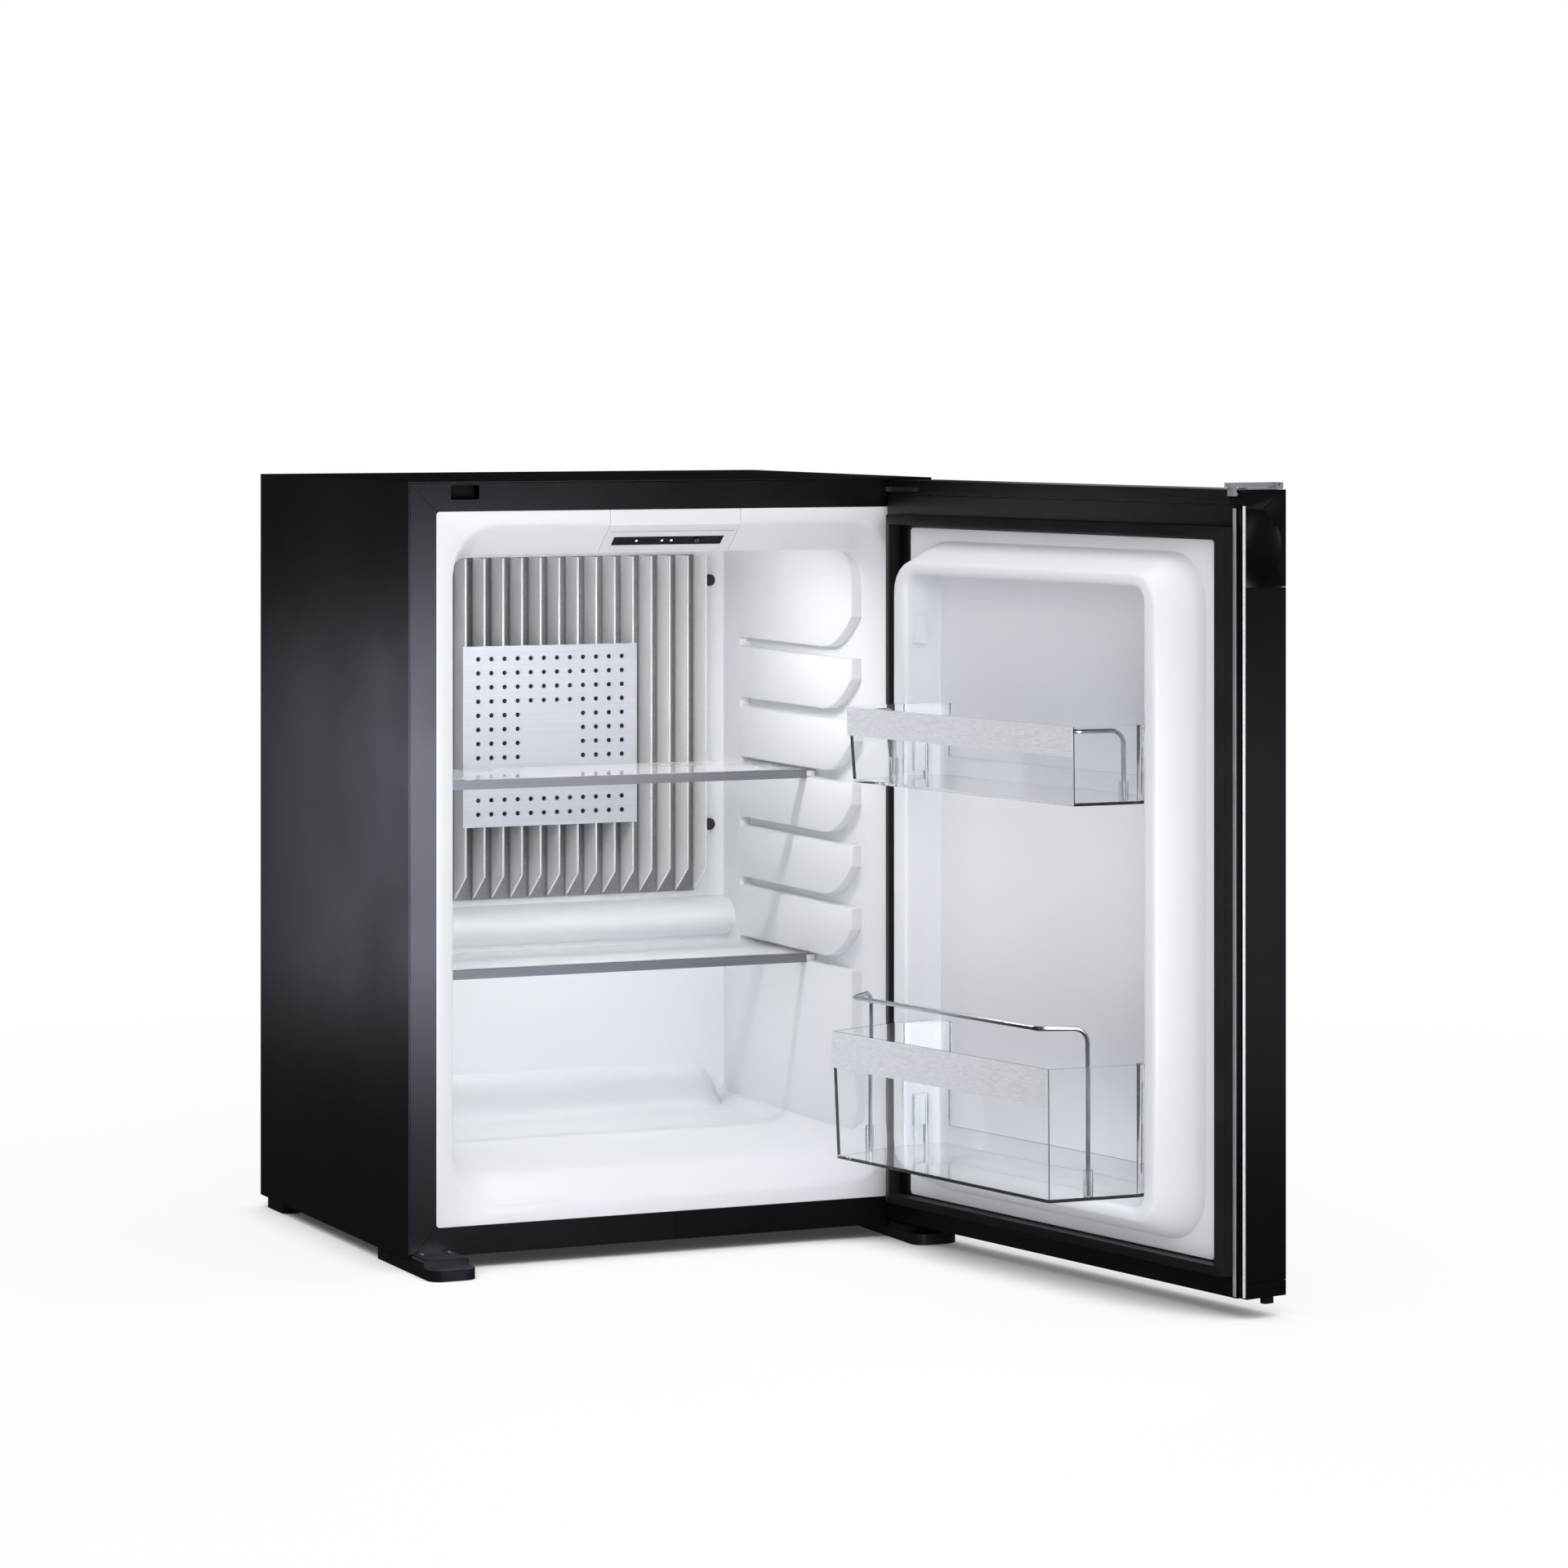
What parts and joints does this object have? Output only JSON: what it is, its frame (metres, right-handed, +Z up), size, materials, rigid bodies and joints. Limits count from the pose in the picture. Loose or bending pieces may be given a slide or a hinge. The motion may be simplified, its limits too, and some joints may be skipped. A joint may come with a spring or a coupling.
{
  "type": "minibar refrigerator",
  "caption": "Small absorption minibar cabinet with an open hinged door, shelf runners with glass shelves, clear door bins with wire rails, finned evaporator and bracket feet",
  "frame": {"origin": "centre of the bounding box's bottom, on the floor, with the door open as in the rest pose", "axes": "+Z up, +Y towards the back of the cabinet, +X to the right seen from the front, on the hinge side"},
  "size_m": [0.4716, 0.7634, 0.5503],
  "materials": {
    "case": "fine textured matt black paint",
    "frame": "satin black",
    "foam": "rigid insulation foam, hidden",
    "liner": "vacuum-formed glossy white",
    "housing": "satin white moulding",
    "gloss_black": "polished black",
    "lamp": "opal diffuser",
    "evaporator": "satin aluminium",
    "rubber": "soft black",
    "rubber_box": "black moulding",
    "steel": "zinc plated",
    "brushed": "brushed silver",
    "chrome": "bright chrome wire",
    "glass": "clear float glass",
    "clear": "clear moulded plastic",
    "latch": "grey moulding",
    "unit": "black enamelled tube"
  },
  "bodies": {
    "cabinet": {"case_shell": "case", "bottom_panel": "case", "back_panel": "case", "insulation_foam": "foam", "frame_top": "frame", "frame_left": "frame", "frame_right": "frame", "frame_bottom_left": "frame", "frame_bottom_right": "frame", "inner_liner": "liner", "recess_plate": "frame", "light_housing": "housing", "control_panel": "gloss_black", "lamp_diffuser": "lamp", "light_sensor": "lamp", "indicator_light_1": "lamp", "indicator_light_2": "lamp", "evaporator_fins": "evaporator", "evaporator_cover": "evaporator", "wall_plug_1": "rubber", "wall_plug_2": "rubber", "top_hinge_plate": "frame", "top_hinge_pin": "steel", "bottom_hinge_pin": "steel", "bracket_left": "frame", "bracket_right": "frame", "rear_foot_left": "rubber", "rear_foot_right": "rubber", "absorber_vessel": "unit", "boiler_can": "unit", "absorber_coil": "unit", "condenser_tube": "unit", "condenser_plates": "unit", "electrical_box": "rubber_box"},
    "door": {"door_outer_panel": "frame", "door_free_bar": "frame", "door_hinge_bar": "frame", "door_top_cap": "frame", "door_bottom_cap": "frame", "door_inner_frame": "frame", "door_liner": "liner", "door_gasket": "rubber", "door_foam": "foam", "grip_insert": "frame", "edge_trim": "brushed", "bottom_stub": "frame", "latch_base": "latch", "latch_pin": "steel"},
    "latch": {"latch_lever": "latch"},
    "shelf_upper": {"shelf_upper_glass": "glass", "shelf_upper_trim": "brushed"},
    "shelf_lower": {"shelf_lower_glass": "glass", "shelf_lower_trim": "brushed"},
    "bin_upper": {"bin_upper": "clear", "bin_upper_strip": "brushed", "bin_upper_rail": "chrome"},
    "bin_lower": {"bin_lower": "clear", "bin_lower_strip": "brushed", "bin_lower_rail": "chrome"},
    "button": {"power_button": "latch"}
  },
  "joints": [
    {"name": "door_hinge", "type": "hinge", "parent": "cabinet", "child": "door", "pos_m": [0.14375, -0.00627, 0.008], "axis": [0, 0, 1], "range_deg": [-100.46, 4.5]},
    {"name": "latch_lift", "type": "hinge", "parent": "door", "child": "latch", "pos_m": [0.22944, -0.37128, 0.5488], "axis": [-0.1815, 0.9834, 0], "range_deg": [0, 6], "stiffness_Nm_per_rad": 0.05},
    {"name": "shelf_upper_slide", "type": "slide", "parent": "cabinet", "child": "shelf_upper", "axis": [0, -1, 0], "range_m": [0, 0.1]},
    {"name": "shelf_lower_slide", "type": "slide", "parent": "cabinet", "child": "shelf_lower", "axis": [0, -1, 0], "range_m": [0, 0.1]},
    {"name": "bin_upper_lift", "type": "slide", "parent": "door", "child": "bin_upper", "axis": [0, 0, 1], "range_m": [0, 0.03]},
    {"name": "bin_lower_lift", "type": "slide", "parent": "door", "child": "bin_lower", "axis": [0, 0, 1], "range_m": [0, 0.04]},
    {"name": "power_button_press", "type": "slide", "parent": "cabinet", "child": "button", "axis": [0, 0.6402, 0.7682], "range_m": [0, 0.0008], "stiffness_N_per_m": 300}
  ]
}
